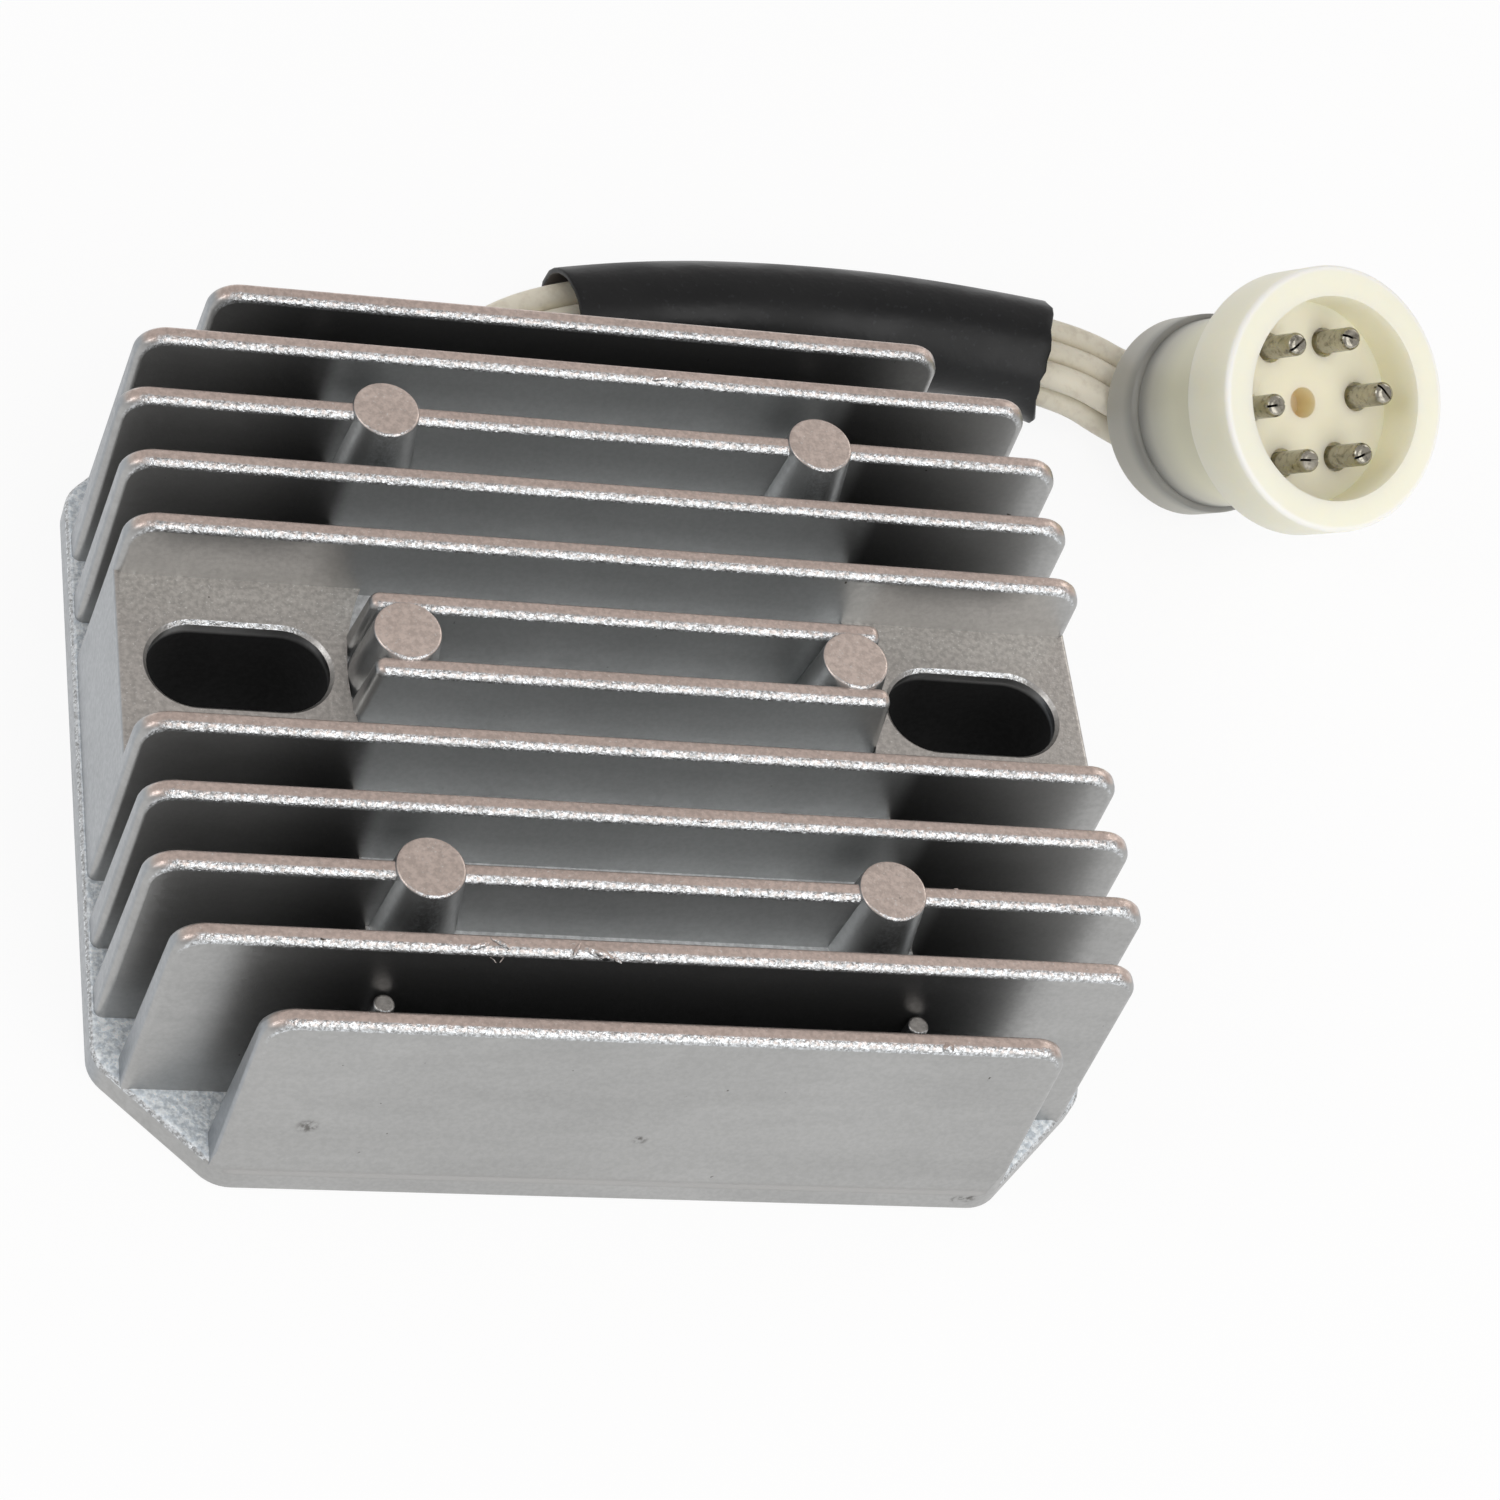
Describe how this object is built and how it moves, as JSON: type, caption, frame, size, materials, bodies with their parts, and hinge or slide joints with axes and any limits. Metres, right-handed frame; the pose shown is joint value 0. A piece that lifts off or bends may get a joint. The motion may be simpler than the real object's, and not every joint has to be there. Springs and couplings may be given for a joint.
{
  "type": "voltage regulator rectifier",
  "caption": "Finned cast heat sink with potted rectifier electronics, slotted mounting pads, and sleeved wires ending in a round multi-pin plug.",
  "frame": {"origin": "centre of the heat sink's flat mounting face", "axes": "+Z out of the mounting face along the fins' height, +X along the fins, +Y towards the side where the wires leave"},
  "size_m": [0.1371, 0.1061, 0.0345],
  "materials": {
    "casting": "sandblasted",
    "potting": "satin",
    "board": "satin",
    "insulator": "matte",
    "package": "matte",
    "can": "satin",
    "terminal": "satin",
    "wire_cover": "satin",
    "sleeve": "satin",
    "housing": "satin",
    "boot": "matte",
    "pin": "polished"
  },
  "bodies": {
    "root": {"capacitor": "can", "circuit_board": "board", "connector_boot": "boot", "connector_housing": "housing", "connector_pin_1": "pin", "connector_pin_2": "pin", "connector_pin_3": "pin", "connector_pin_4": "pin", "connector_pin_5": "pin", "connector_pin_6": "pin", "control_chip": "package", "diode_1": "package", "diode_2": "package", "diode_3": "package", "heat_sink": "casting", "insulating_sheet": "insulator", "potting_compound": "potting", "protective_sleeve": "sleeve", "resistor_1": "package", "resistor_2": "package", "resistor_3": "package", "thyristor_1": "package", "thyristor_2": "package", "thyristor_3": "package", "wire_1": "wire_cover", "wire_2": "wire_cover", "wire_3": "wire_cover", "wire_4": "wire_cover", "wire_5": "wire_cover", "wire_6": "wire_cover", "wire_terminal_1": "terminal", "wire_terminal_2": "terminal", "wire_terminal_3": "terminal", "wire_terminal_4": "terminal", "wire_terminal_5": "terminal", "wire_terminal_6": "terminal"}
  },
  "joints": []
}
